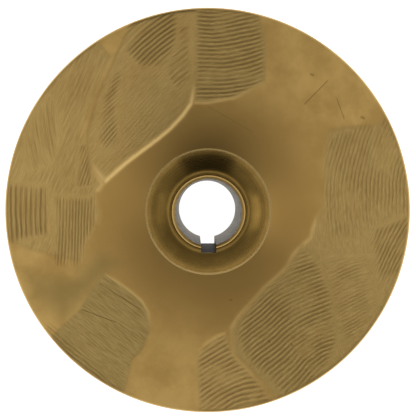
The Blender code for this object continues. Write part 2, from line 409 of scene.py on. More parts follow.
@dataclass(frozen=True)
class GroundFinish(Finish):
    """Bronze ground by hand: chatter and scratches along the mesh's strokes, with smooth brown between.

    The mesh's attributes are stroke (across the strokes in pitches, along them in mm, and the patch's
    number), ground (inside a patch), chatter (how deep it is), burnish (a painted highlight along the
    patch edges and the rim), warmth (painted shade near the hub) and dull (olive metal).
    """

    ground: Colour = (0.43, 0.283, 0.094, 1.0)
    # brighter metal: the colour of the bright scratches and of the painted highlight
    bright_metal_and_highlight: Colour = (0.70, 0.49, 0.19, 1.0)
    # colour of the painted shade in chatter troughs, scratches and pits
    hollow_shade: Colour = (0.17, 0.105, 0.032, 1.0)
    olive: Colour = (0.245, 0.172, 0.056, 1.0)
    scores: tuple[tuple[Point, Point, float], ...] = (
        ((51.3, 57.0), (64.1, 69.8), 0.40),
        ((68.8, 59.9), (72.7, 49.2), 0.30),
        ((0.2, 55.6), (23.6, 42.1), 0.16),
        ((-67.3, -52.7), (-49.5, -59.4), 0.40),
        ((-58.0, -38.5), (-36.0, -52.5), 0.35),
        ((55.0, 73.0), (56.2, 72.5), 0.90),
        ((82.2, 50.2), (83.4, 49.6), 1.00),
        ((32.3, -69.5), (33.2, -70.4), 0.80),
        ((44.6, -71.4), (45.4, -72.4), 0.80),
        ((11.6, -47.0), (12.3, -47.2), 0.70),
    )  # first end, last end and width, in mm
    chatter_height: float = 0.105  # mm

    def draw(self, graph: Graph) -> None:
        """Strokes on the ground patches, mottled metal between, and single scratches and pits over all.

        Args:
            graph: the material's graph.
        """
        place = graph.millimetres()
        stroke = graph.attribute("stroke", "Vector")
        across, along, patch = graph.split(stroke)
        ground = graph.attribute("ground")
        chatter = graph.attribute("chatter")
        edge_highlight = graph.attribute("edge_highlight")
        hub_shade = graph.attribute("hub_shade")
        dull = graph.attribute("dull")
        waver = graph.noise(graph.join(across * 0.045, along * 0.016, patch), 1.0, 1.0)
        turns = (across + waver * 3.0) * math.tau + graph.noise(place, 0.16, 2.0) * 1.8
        wave = turns.sine() * 0.5 + 0.5
        patchy = graph.noise(graph.join(across * 0.22, along * 0.035, patch * 3.7), 1.0, 3.0)
        depth = chatter * (0.25 + patchy.ramp(0.34, 0.60) * 0.75)
        scratches = graph.noise(graph.join(across * 5.0, along * 0.13, patch * 5.1), 1.0, 3.0, 0.7)
        mottle = graph.noise(place, 0.055, 5.0, 0.6)
        grain = graph.noise(place, 1.1, 4.0, 0.7)
        smooth = graph.mix(mottle.ramp(0.3, 0.7) * 0.75, self.colour, self.deep)
        # painted shade on the smooth face, darkest near the hub
        smooth = graph.mix(hub_shade, smooth, self.deep)
        worked = graph.mix(mottle.ramp(0.35, 0.7) * 0.5, self.ground, self.deep)
        colour = graph.mix(dull, graph.mix(ground, smooth, worked), self.olive)
        colour = graph.mix(scratches.ramp(0.35, 0.68) * ground * 0.34, colour, self.bright_metal_and_highlight)
        # painted shade in the troughs of the chatter
        hollow_shade = (1.0 - wave) * (1.0 - wave)
        colour = graph.mix(hollow_shade * depth * 0.70, colour, self.hollow_shade)
        # painted highlight along the patch edges and the rim
        colour = graph.mix(edge_highlight * 0.8, colour, self.bright_metal_and_highlight)
        colour = graph.mix(grain.ramp(0.62, 0.74) * 0.18, colour, self.deep)
        scored = self.scored(graph, place)
        # painted shade in the single scratches and pits
        colour = graph.mix(scored * 0.55, colour, self.hollow_shade)
        roughness = self.roughness + grain * 0.08 + depth * 0.04 - edge_highlight * 0.08
        relief = wave * depth * self.chatter_height + scratches * (0.010 * ground + 0.0012) + grain * 0.004
        self.link(graph, colour, roughness, graph.bump(relief - scored * 0.04))

    def scored(self, graph: Graph, place: Value) -> Value:
        """Where the single scratches and pits are.

        Args:
            graph: the material's graph.
            place: the place in millimetres.

        Returns:
            1 in the middle of a scratch and 0 beside it.
        """
        x, y, _ = graph.split(place)
        flat = graph.join(x, y, 0.0)
        found: Value | float = 0.0
        for first, last, width in self.scores:
            run = Vector((last[0] - first[0], last[1] - first[1], 0.0))
            away = graph.vector("SUBTRACT", flat, (*first, 0.0))
            share = graph.vector("DOT_PRODUCT", away, tuple(run), output="Value") / run.length_squared
            along = share.clamped()
            reached = graph.join(along * run.x, along * run.y, 0.0)
            distance = graph.vector("DISTANCE", away, reached, output="Value")
            found = distance.ramp(width, width * 0.2) + found
        return found


@dataclass(frozen=True)
class SteelFinish(Finish):
    """Plain brushed steel."""

    def draw(self, graph: Graph) -> None:
        """Fine noise and a little stain.

        Args:
            graph: the material's graph.
        """
        place = graph.millimetres()
        brushed = graph.noise(place, 4.0, 3.0)
        stain = graph.noise(place, 0.8, 3.0)
        colour = graph.mix(stain.ramp(0.3, 0.7), self.deep, self.colour)
        self.link(graph, colour, self.roughness + stain * 0.1, graph.bump(brushed * 0.004))


GROUND = GroundFinish("ground bronze", (0.53, 0.345, 0.112, 1.0), (0.36, 0.218, 0.062, 1.0), 0.36)
TURNED = TurnedFinish("turned bronze", (0.33, 0.204, 0.052, 1.0), (0.24, 0.145, 0.033, 1.0), 0.23, hub=True)
BORED = BoredFinish("bored sleeve", (0.18, 0.146, 0.083, 1.0), (0.09, 0.070, 0.036, 1.0), 0.46)
CAST = CastFinish("cast bronze", (0.42, 0.285, 0.105, 1.0), (0.24, 0.155, 0.058, 1.0), 0.46)
RING = TurnedFinish("ring bronze", (0.52, 0.37, 0.15, 1.0), (0.42, 0.29, 0.11, 1.0), 0.25)
STEEL = SteelFinish("screw steel", (0.50, 0.50, 0.48, 1.0), (0.32, 0.32, 0.31, 1.0), 0.32)


# ---- Mesh helpers --------------------------------------------------------------------------------


@cache
def node_box(name: str) -> tuple[Vector, Vector]:
    """The lowest and highest corners of a CAD node, read once."""
    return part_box(name)


def piece_from(bm: bmesh.types.BMesh, name: str, finish: Finish) -> bpy.types.Object:
    """Makes an object of a bmesh, which is freed.

    Args:
        bm: the mesh, closed, in place.
        name: the object's name.
        finish: what it is dressed in.

    Returns:
        The object, smooth with sharp edges where it turns.
    """
    bmesh.ops.remove_doubles(bm, verts=bm.verts, dist=1e-7)
    bmesh.ops.recalc_face_normals(bm, faces=bm.faces)
    mesh = bpy.data.meshes.new(name)
    bm.to_mesh(mesh)
    bm.free()
    mesh.shade_smooth()
    mesh.set_sharp_from_angle(angle=SHARP_ANGLE)
    mesh.materials.append(finish.material())
    made = bpy.data.objects.new(name, mesh)
    bpy.context.scene.collection.objects.link(made)
    return made


def seat_piece(made: bpy.types.Object, slot: Slot, *nodes: str) -> None:
    """Seats a piece on the body, hides the nodes that it stands for, and logs them.

    Args:
        made: the piece.
        slot: not used.
        nodes: the CAD nodes that it replaces.
    """
    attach(made, BODY)
    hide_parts(*nodes)
    LOG.info("%s: %d faces, stands for %s", made.name, len(made.data.polygons), ", ".join(nodes))


def turned(profile: list[Point], steps: int) -> bmesh.types.BMesh:
    """Turns a closed profile about Z, as a sheet wrapped both ways, whose seams meet but are not merged.

    Args:
        profile: (radius, height) points in metres.
        steps: facets round.

    Returns:
        The mesh, closed once its seams are merged.
    """
    bm = bmesh.new()
    count = len(profile)
    bmesh.ops.create_grid(bm, x_segments=steps, y_segments=count, size=0.5)
    for corner in bm.verts:
        radius, height = profile[round((corner.co.y + 0.5) * count) % count]
        turn = math.tau * (round((corner.co.x + 0.5) * steps) % steps) / steps
        corner.co = (radius * math.cos(turn), radius * math.sin(turn), height)
    return bm


def rounded(profile: list[Point], radius: float, segments: int = 3, sharpest: float = 20.0) -> list[Point]:
    """Rounds the corners of a closed profile.

    Args:
        profile: (radius, height) points in metres.
        radius: how far back from a corner its round starts, at most.
        segments: straight pieces in each round.
        sharpest: turns under this many degrees stay as they are.

    Returns:
        The new profile.
    """
    made: list[Point] = []
    count = len(profile)
    for index in range(count):
        before, here, after = (Vector(profile[(index + step) % count]) for step in (-1, 0, 1))
        back, on = before - here, after - here
        if math.degrees(math.pi - back.angle(on)) < sharpest:
            made.append(tuple(here))
            continue
        reach = min(radius, back.length * 0.4, on.length * 0.4)
        first, last = here + back.normalized() * reach, here + on.normalized() * reach
        for step in range(segments + 1):
            share = step / segments
            made.append(tuple(first * (1 - share) ** 2 + here * 2 * share * (1 - share) + last * share**2))
    return made


def cut(target: bpy.types.Object, cutters: list[bmesh.types.BMesh]) -> None:
    """Cuts closed shapes out of a piece for good.

    Args:
        target: the piece.
        cutters: closed meshes, which are freed.
    """
    helpers = []
    for index, bm in enumerate(cutters):
        bmesh.ops.recalc_face_normals(bm, faces=bm.faces)
        mesh = bpy.data.meshes.new(f"cutter_{index}")
        bm.to_mesh(mesh)
        bm.free()
        helper = bpy.data.objects.new(mesh.name, mesh)
        bpy.context.scene.collection.objects.link(helper)
        modifier = target.modifiers.new(helper.name, "BOOLEAN")
        modifier.operation = "DIFFERENCE"
        modifier.solver = "EXACT"
        modifier.object = helper
        helpers.append(helper)
    graph = bpy.context.evaluated_depsgraph_get()
    fresh = bpy.data.meshes.new_from_object(target.evaluated_get(graph))
    target.modifiers.clear()
    target.data = fresh
    fresh.shade_smooth()
    fresh.set_sharp_from_angle(angle=SHARP_ANGLE)
    for helper in helpers:
        bpy.data.objects.remove(helper)


def from_depth(points: list[Point]) -> list[Point]:
    """(radius, height) points of (radius, depth) points below the mouth's plane."""
    top = node_box("hub")[1].z
    return [(radius, top - depth) for radius, depth in points]


@dataclass(frozen=True)
class Wall:
    """One wall of the passage: a quarter ellipse round the eye, and then a straight fall to the rim.

    Radii are from the shaft's axis, and depths run down from the mouth's plane.
    """

    centre: Point
    halves: Point
    rim_depth: float

    def angle(self, radius: float) -> float:
        """The quarter ellipse's angle at a radius, 0 being where the straight fall starts."""
        return math.asin((self.centre[0] - radius) / self.halves[0])

    def curve(self, first: float, last: float, steps: int) -> list[Point]:
        """Points along the quarter ellipse.

        Args:
            first: the first angle.
            last: the last angle.
            steps: straight pieces.

        Returns:
            (radius, depth) points.
        """
        (centre, deep), (radial, axial) = self.centre, self.halves
        angles = [first + (last - first) * step / steps for step in range(steps + 1)]
        return [(centre - radial * math.sin(a), deep - axial * math.cos(a)) for a in angles]

    def depth(self, radius: float) -> float:
        """The wall's depth.

        Args:
            radius: where to read it.

        Returns:
            The depth, in metres.
        """
        (centre, deep), (radial, axial) = self.centre, self.halves
        start = deep - axial
        if radius >= centre:
            rim = node_box("back_shroud")[1].x
            return start + (self.rim_depth - start) * (radius - centre) / (rim - centre)
        across = min(1.0, (centre - radius) / radial)
        return deep - axial * math.sqrt(1.0 - across * across)


HUB_WALL = Wall((0.062, 0.054), (0.038, 0.0315), 0.0275)
FRONT_WALL = Wall((0.068, 0.059), (0.0185, 0.0150), 0.0425)


# ---- The ground disc -----------------------------------------------------------------------------


@dataclass(frozen=True)
class Stroke:
    """The way a patch was ground, all in millimetres.

    Straight strokes run at heading degrees from +X. Strokes with a centre are arcs round it instead.
    """

    pitch: float
    heading: float = 0.0
    centre: Point | None = None
    depth: float = 1.0

    def lay(self, x: np.ndarray, y: np.ndarray) -> tuple[np.ndarray, np.ndarray]:
        """Measures places by the strokes.

        Args:
            x: the places' first coordinates, in mm.
            y: their second coordinates, in mm.

        Returns:
            How far each lies across the strokes, in pitches, and along them, in mm.
        """
        if self.centre:
            cx, cy = self.centre
            dx, dy = x - cx, y - cy
            turn = np.arctan2(cy * dx - cx * dy, -cx * dx - cy * dy)
            return np.hypot(dx, dy) / self.pitch, turn * math.hypot(cx, cy)
        angle = math.radians(self.heading)
        cosine, sine = math.cos(angle), math.sin(angle)
        return (y * cosine - x * sine) / self.pitch, x * cosine + y * sine


@dataclass(frozen=True)
class Patch:
    """One ground patch, in millimetres: its outline, its strokes and how it stands to the face.

    A patch with a sink is tilted a little, and a negative sink stands it proud of the face. A patch
    without one only lays its strokes, or its dullness, over the patches before it.
    """

    name: str
    outline: tuple[Point, ...]
    stroke: Stroke
    sink: float = 0.0
    edge: float = 1.6
    # how strong the painted highlight along the patch's edge is
    edge_highlight: float = 0.0
    tilt: Point = (0.0, 0.0)
    dull: float = 0.0
    fade: float = 4.0

    def inside(self, x: np.ndarray, y: np.ndarray) -> np.ndarray:
        """Measures places by the outline.

        Args:
            x: the places' first coordinates, in mm.
            y: their second coordinates, in mm.

        Returns:
            How far inside the outline each is, in mm, and negative outside it.
        """
        nearest = np.full(x.shape, np.inf)
        winding = np.zeros(x.shape, bool)
        for index in range(len(self.outline)):
            (ax, ay), (bx, by) = self.outline[index - 1], self.outline[index]
            ex, ey = bx - ax, by - ay
            share = np.clip(((x - ax) * ex + (y - ay) * ey) / (ex * ex + ey * ey), 0.0, 1.0)
            nearest = np.minimum(nearest, np.hypot(x - ax - share * ex, y - ay - share * ey))
            crosses = (ay > y) != (by > y)
            if ey:
                winding ^= crosses & (x < ax + (y - ay) * ex / ey)
        return np.where(winding, nearest, -nearest)


def eased(values: np.ndarray, low: float, high: float) -> np.ndarray:
    """Values eased from 0 at low to 1 at high."""
    share = np.clip((values - low) / (high - low), 0.0, 1.0)
    return share * share * (3 - 2 * share)


PATCHES = (
    Patch(
        "upper left",
        ((-8, 56.6), (-12.5, 50), (-19, 43), (-26, 37.2), (-34.6, 30.8), (-43, 24.5), (-54.5, 14.4),
         (-65.2, 26.5), (-65.8, 41), (-60, 62), (-51, 82), (-42, 100), (-20, 114), (-3, 114), (-3, 80)),
        Stroke(2.0, 47, depth=0.30),
        sink=-0.50, edge=2.6, edge_highlight=1.0, tilt=(-0.010, 0.012), dull=0.15,
    ),
    Patch(
        "upper left, dense strokes",
        ((-42, 34), (-56, 24), (-64, 38), (-60, 62), (-52, 80), (-40, 78), (-44, 56)),
        Stroke(1.9, centre=(40, -40), depth=0.85),
        fade=9.0,
    ),
    Patch(
        "upper left, outer strokes",
        ((-50, 84), (-44, 112), (-14, 112), (-10, 88), (-22, 72), (-38, 72)),
        Stroke(2.3, centre=(60, -20)),
        fade=9.0,
    ),
    Patch(
        "upper left, coarse strokes",
        ((-6, 108), (-6, 70), (-16, 58), (-26, 70), (-20, 100)),
        Stroke(2.7, 38, depth=0.7),
        fade=6.0,
    ),
    Patch(
        "left",
        ((-54.5, 14.4), (-62.2, 26.5), (-64.8, 41), (-59, 62), (-50, 82), (-64, 98), (-114, 50),
         (-114, -14), (-95, -22), (-81, -25.5), (-67, -28), (-64.5, -19), (-61.6, -14), (-57, -7),
         (-56.6, 0), (-58.4, 8.7)),
        Stroke(2.4, 67, depth=0.40),
        sink=-0.34, edge=3.0, edge_highlight=0.4, dull=0.18, tilt=(-0.012, 0.0), fade=6.0,
    ),
    Patch(
        "left, rim strokes",
        ((-80, 70), (-72, 40), (-80, 20), (-104, 14), (-102, 44), (-92, 62)),
        Stroke(2.5, centre=(60, 66), depth=0.7),
        fade=9.0,
    ),
    Patch(
        "left, ridge strokes",
        ((-70, 38), (-63, 36), (-59, 12), (-73, 10)),
        Stroke(1.7, 69, depth=0.8),
        fade=3.5,
    ),
    Patch(
        "left, outer upright strokes",
        ((-122, 20), (-82, 17), (-80, -16), (-122, -24)),
        Stroke(2.7, centre=(100, 0), depth=1.0),
        fade=8.0,
    ),
    Patch(
        "left, inner upright strokes",
        ((-86, 12), (-57, 11), (-56, 0), (-56.5, -8), (-61, -16), (-63, -26), (-68, -32), (-85, -33)),
        Stroke(1.75, 88, depth=0.85),
        fade=7.0,
    ),
    Patch(
        "top",
        ((-7.4, 114), (-7.4, 78), (-8.3, 56.6), (0, 56.6), (14.4, 59.3), (31, 68), (31.5, 90),
         (27, 114)),
        Stroke(2.3, centre=(-10, 210), depth=0.8),
        sink=-0.22, edge=1.8, edge_highlight=0.35, tilt=(0.0, 0.010), fade=4.0, dull=0.35,
    ),
    Patch(
        "right",
        ((63, 43.5), (60.6, 34), (60.6, 19), (60.2, 5), (54, -9), (53.5, -13), (50, -16), (44, -22),
         (40.4, -29), (35, -34), (28.6, -39.5), (21.5, -48), (14.4, -56), (10.8, -62.3), (13, -77),
         (26, -90), (46, -114), (114, -114), (114, 30), (98, 52), (88, 47), (71, 46)),
        Stroke(2.15, centre=(205, 0), depth=0.15),
        sink=-0.34, edge=3.2, edge_highlight=0.3, fade=5.0, tilt=(0.008, -0.002), dull=0.34,
    ),
    Patch(
        "right, upright strokes",
        ((58, 44), (57, 34), (56, 19), (56, 5), (58, -24), (84, -18), (122, -4), (122, 40), (96, 56),
         (80, 52)),
        Stroke(2.1, centre=(215, 0), depth=0.70),
        fade=12.0,
    ),
    Patch(
        "right, rim strokes",
        ((82, -6), (120, 8), (120, -52), (90, -54)),
        Stroke(2.0, centre=(260, -110), depth=0.9),
        fade=10.0,
    ),
    Patch(
        "lower right, fine strokes",
        ((58, -18), (88, -18), (96, -50), (84, -82), (66, -74), (58, -44)),
        Stroke(1.9, centre=(130, -170), depth=0.55),
        fade=14.0,
    ),
    Patch(
        "lower right, long strokes",
        ((50, -16), (44, -24), (39.4, -31), (33, -37), (27, -42), (20, -50), (14, -58), (12.5, -66),
         (16, -79), (27, -90), (42, -104), (64, -92), (72, -72), (70, -48), (62, -26)),
        Stroke(2.3, centre=(92, -134), depth=0.95),
        fade=8.0,
    ),
    Patch(
        "bottom",
        ((9.4, -64), (4.4, -65.8), (0.2, -68.3), (-3.3, -70.8), (-6.1, -75), (-6.8, -80), (-6, -114),
         (44, -114), (27, -90), (14, -76)),
        Stroke(2.6, centre=(60, -190), depth=0.9),
        sink=-0.36, edge=2.0, edge_highlight=0.4, fade=4.0, tilt=(0.0, -0.012),
    ),
    Patch(
        "lower left",
        ((-55, -32.4), (-47.3, -37.4), (-40.2, -42.4), (-34.6, -47.4), (-31, -54), (-30.3, -64),
         (-34.6, -74.4), (-40, -80), (-48, -114), (-98, -84), (-80, -62), (-69.4, -52.3), (-61.6, -40)),
        Stroke(2.2, -38, depth=0.05),
        sink=-0.32, edge=1.8, edge_highlight=0.30, tilt=(-0.006, -0.010), dull=0.75,
    ),
    Patch(
        "lower left, brown band",
        ((-104, -26), (-74, -30), (-58, -14), (-40, -26), (-56, -46), (-76, -66), (-100, -50)),
        Stroke(2.0, depth=0.0),
        edge=13.0, dull=0.62,
    ),
    Patch(
        "lower left, rim strokes",
        ((-84, -54), (-98, -66), (-50, -108), (-44, -92), (-58, -80), (-72, -66)),
        Stroke(1.9, -40, depth=0.55),
        fade=7.0,
    ),
)


@dataclass
class BackDisc:
    """The disc on the drive side, with its ground face in the mesh.

    Pairs of numbers say where something starts and is whole, such as mm in from the rim or out from the
    axis. The painted highlight line runs along the middle of a patch's edge, and its pair is a share of the
    edge.
    """

    hub_radius: float = 0.0331
    hub_depth: float = 0.0080
    gap: float = 0.0003
    slope_at_hub: float = math.tan(math.radians(20.0))
    slope_at_rim: float = math.tan(math.radians(4.0))
    flare: float = 0.030
    wall: Wall = HUB_WALL
    rim_bevel: float = 0.0007
    rim_bevel_fall: float = 1.2
    back_bevel: float = 0.0004
    steps: int = 720
    rings: int = 110
    sink_share: float = 0.62
    tilt_share: float = 0.12
    plain_pitch: float = 2.2  # mm
    hub_margin: float = 3.0  # mm
    rim_margin: Point = (0.6, 1.8)  # mm
    # where the painted highlight lies: across a patch's edge, in from the rim, and inside which radius
    highlight_line: Point = (0.45, 0.42)
    highlight_rim: Point = (0.9, 0.3)  # mm
    highlight_inside: Point = (58.0, 72.0)  # mm
    # where the painted shade near the hub fades out, in mm from the axis, and how strong it is
    hub_shade_zone: Point = (42.0, 88.0)  # mm
    hub_shade_most: float = 0.90
    overlap: Point = (0.08, 0.50)
    patches: tuple[Patch, ...] = PATCHES

    def face_depth(self, radius: float | np.ndarray) -> float | np.ndarray:
        """The depth of the plain face.

        Args:
            radius: one radius, or many.

        Returns:
            The depth at each, in metres below the mouth's plane.
        """
        out = radius - self.hub_radius
        flare = (self.slope_at_hub - self.slope_at_rim) * self.flare
        return self.hub_depth + self.slope_at_rim * out + flare * (1.0 - np.exp(-out / self.flare))

    def body(self) -> bmesh.types.BMesh:
        """The plain disc.

        Returns:
            A closed mesh with a fine face and a coarser back.
        """
        outer = node_box("back_shroud")[1].x
        inner = self.hub_radius + self.gap
        edge = outer - self.rim_bevel
        radii = [inner + (edge - inner) * ring / self.rings for ring in range(self.rings + 1)]
        points = [(radius, self.face_depth(radius)) for radius in radii]
        points.append((outer, self.face_depth(edge) + self.rim_bevel * self.rim_bevel_fall))
        points.append((outer, self.wall.rim_depth - self.back_bevel))
        points.append((outer - self.back_bevel, self.wall.rim_depth))
        points += self.wall.curve(0.0, self.wall.angle(inner), 10)
        return turned(from_depth(points), self.steps)

    def grind(self, mesh: bpy.types.Mesh) -> None:
        """Shapes the patches in the face, and keeps each point's strokes for the finish.

        Args:
            mesh: the plain disc, which is changed.
        """
        count = len(mesh.vertices)
        places = np.empty(count * 3)
        mesh.vertices.foreach_get("co", places)
        places = places.reshape(-1, 3)
        x, y = places[:, 0] / MM, places[:, 1] / MM
        radius = np.hypot(x, y)
        outer = node_box("back_shroud")[1].x / MM
        face_z = node_box("hub")[1].z - self.face_depth(radius * MM)
        on_face = (np.abs(places[:, 2] - face_z) < 1e-5) & (radius < outer - self.rim_bevel / MM + 0.01)
        past_hub = radius - self.hub_radius / MM
        room = np.minimum(eased(past_hub, 0.0, self.hub_margin), eased(outer - radius, *self.rim_margin))
        drop = np.zeros(count)
        ground, chatter, second, edge_highlight, dull = (np.zeros(count) for _ in range(5))
        across, along, number = x / self.plain_pitch, y.copy(), np.zeros(count)
        for index, patch in enumerate(self.patches, 1):
            inside = patch.inside(x, y)
            level = eased(inside, 0.0, patch.edge)
            far, run = patch.stroke.lay(x, y)
            tilted = (x * patch.tilt[0] + y * patch.tilt[1]) * self.tilt_share
            strength = eased(inside, 0.0, patch.fade) * patch.stroke.depth
            if patch.sink or patch.dull:
                dull = dull * (1 - level) + patch.dull * level
            if patch.sink:
                drop = drop * (1 - level) + (patch.sink + tilted) * self.sink_share * level
                ground = np.maximum(ground, level)
                mine = inside > 0
                chatter = np.where(mine, strength, chatter)
                second = np.where(mine, 0.0, second)
            else:
                mine = strength > chatter
                second = np.maximum(second, np.minimum(strength, chatter))
                chatter = np.maximum(chatter, strength)
            across = np.where(mine, far, across)
            along = np.where(mine, run, along)
            number = np.where(mine, index, number)
            # painted highlight along the middle of each patch's edge, on the hub's side
            line = np.exp(-(((inside / patch.edge - self.highlight_line[0]) / self.highlight_line[1]) ** 2))
            inner_side = 1 - eased(radius, *self.highlight_inside)
            edge_highlight = np.maximum(edge_highlight * (1 - level), line * patch.edge_highlight * inner_side)
        places[:, 2] -= drop * MM * room * on_face
        mesh.vertices.foreach_set("co", places.ravel())
        chatter *= eased(chatter - second, *self.overlap)
        # painted highlight on the rim's bevel
        rim = 1 - eased(outer - radius, self.highlight_rim[1], self.highlight_rim[0])
        # painted shade near the hub, fading out with the radius
        hub_shade = (1 - eased(radius, *self.hub_shade_zone)) * self.hub_shade_most
        self.keep(mesh, "stroke", np.stack([across, along, number], axis=1))
        self.keep(mesh, "ground", ground * room)
        self.keep(mesh, "chatter", chatter * room)
        self.keep(mesh, "edge_highlight", np.maximum(edge_highlight * room, rim * 0.9))
        self.keep(mesh, "hub_shade", hub_shade)
        self.keep(mesh, "dull", dull * room)

    def keep(self, mesh: bpy.types.Mesh, name: str, values: np.ndarray) -> None:
        """Keeps an attribute on the mesh.

        Args:
            mesh: the mesh.
            name: the attribute's name.
            values: a number, or three, for each of its points.
        """
        if values.ndim == 2:
            mesh.attributes.new(name, "FLOAT_VECTOR", "POINT").data.foreach_set("vector", values.ravel())
        else:
            mesh.attributes.new(name, "FLOAT", "POINT").data.foreach_set("value", values)

    def build(self) -> None:
        """Makes and dresses the disc."""
        disc = piece_from(self.body(), "ground_disc", GROUND)
        self.grind(disc.data)
        disc.data.set_sharp_from_angle(angle=SHARP_ANGLE)
        seat_piece(disc, Slot.GROUND, "back_shroud")


# ---- Hub and sleeve ------------------------------------------------------------------------------


@dataclass
class KeyedBore:
    """The tapered bore and the keyway that runs through the sleeve into the hub."""

    mouth_radius: float = 0.01746
    taper: float = 1 / 16
    keyway_width: float = 0.00794
    keyway_depth: float = 0.0037
    reach: float = 0.010

    def radius(self, depth: float) -> float:
        """The bore's radius at a depth."""
        return self.mouth_radius - self.taper * depth / 2

    def keyway(self) -> bmesh.types.BMesh:
        """The bar that the keyway is cut with.

        Returns:
            A closed mesh, whose floor follows the taper.
        """
        low, high = node_box("hub")
        bottom, top = low.z - self.reach, high.z + self.reach
        bm = bmesh.new()
        size = Matrix.Diagonal((self.keyway_width, 1.0, top - bottom, 1.0))
        bmesh.ops.create_cube(bm, size=1.0, matrix=Matrix.Translation((0, -0.5, (top + bottom) / 2)) @ size)
        for corner in bm.verts:
            radius = self.radius(high.z - corner.co.z)
            corner.co.y = -(radius + self.keyway_depth) if corner.co.y < -0.5 else -self.mouth_radius / 2
        return bm


@dataclass
class Hub:
    """The turned boss, its foot with a painted highlight, and the nose that stands in the eye."""

    bore: KeyedBore
    steps: int = 288
    seat_radius: float = 0.01932
    lip_radius: float = 0.0205
    boss_radius: float = 0.0324
    boss_drop: float = 0.0080
    boss_rounding: float = 1.6
    boss_steps: int = 18
    foot_radius: float = 0.03338
    chamfer: float = 0.0007
    nose_radius: float = 0.0240
    wall: Wall = HUB_WALL

    def profile(self) -> list[Point]:
        """The closed outline of the hub.

        Returns:
            (radius, height) points.
        """
        low, high = node_box("hub")
        length = high.z - low.z
        points = [(self.seat_radius, length), (self.seat_radius, self.chamfer / 2)]
        points.append((self.seat_radius + self.chamfer / 2, 0.0))
        for step in range(self.boss_steps + 1):
            share = step / self.boss_steps
            radius = self.lip_radius + (self.boss_radius - self.lip_radius) * share
            points.append((radius, self.boss_drop * share**self.boss_rounding))
        points.append((self.foot_radius, self.boss_drop))
        points += self.wall.curve(self.wall.angle(self.foot_radius), math.radians(90.0), 14)
        points += [(self.nose_radius, length - self.chamfer), (self.nose_radius - self.chamfer, length)]
        return from_depth(points)

    def build(self) -> None:
        """Makes, cuts and dresses the hub."""
        hub = piece_from(turned(self.profile(), self.steps), "turned_hub", TURNED)
        cut(hub, [self.bore.keyway()])
        seat_piece(hub, Slot.TURNED, "hub")


@dataclass
class Sleeve:
    """The thin liner of the bore, slotted by the keyway."""

    bore: KeyedBore
    steps: int = 288
    outer_radius: float = 0.0193
    mouth_chamfer: float = 0.0011
    end_chamfer: float = 0.0007
    rings: int = 24

    def profile(self) -> list[Point]:
        """The closed outline of the liner.

        Returns:
            (radius, height) points.
        """
        low, high = node_box("bore_sleeve")
        length = high.z - low.z
        points = [(self.bore.mouth_radius + self.mouth_chamfer, 0.0), (self.outer_radius - 0.00015, 0.0)]
        points += [(self.outer_radius, 0.00015), (self.outer_radius, length)]
        points.append((self.bore.radius(length) + self.end_chamfer, length))
        span = length - self.end_chamfer - self.mouth_chamfer
        for step in range(self.rings + 1):
            depth = length - self.end_chamfer - span * step / self.rings
            points.append((self.bore.radius(depth), depth))
        return from_depth(points)

    def build(self) -> None:
        """Makes, cuts and dresses the liner."""
        sleeve = piece_from(turned(self.profile(), self.steps), "bored_sleeve", BORED)
        cut(sleeve, [self.bore.keyway()])
        seat_piece(sleeve, Slot.SLEEVE, "bore_sleeve")


# ---- Vanes ---------------------------------------------------------------------------------------


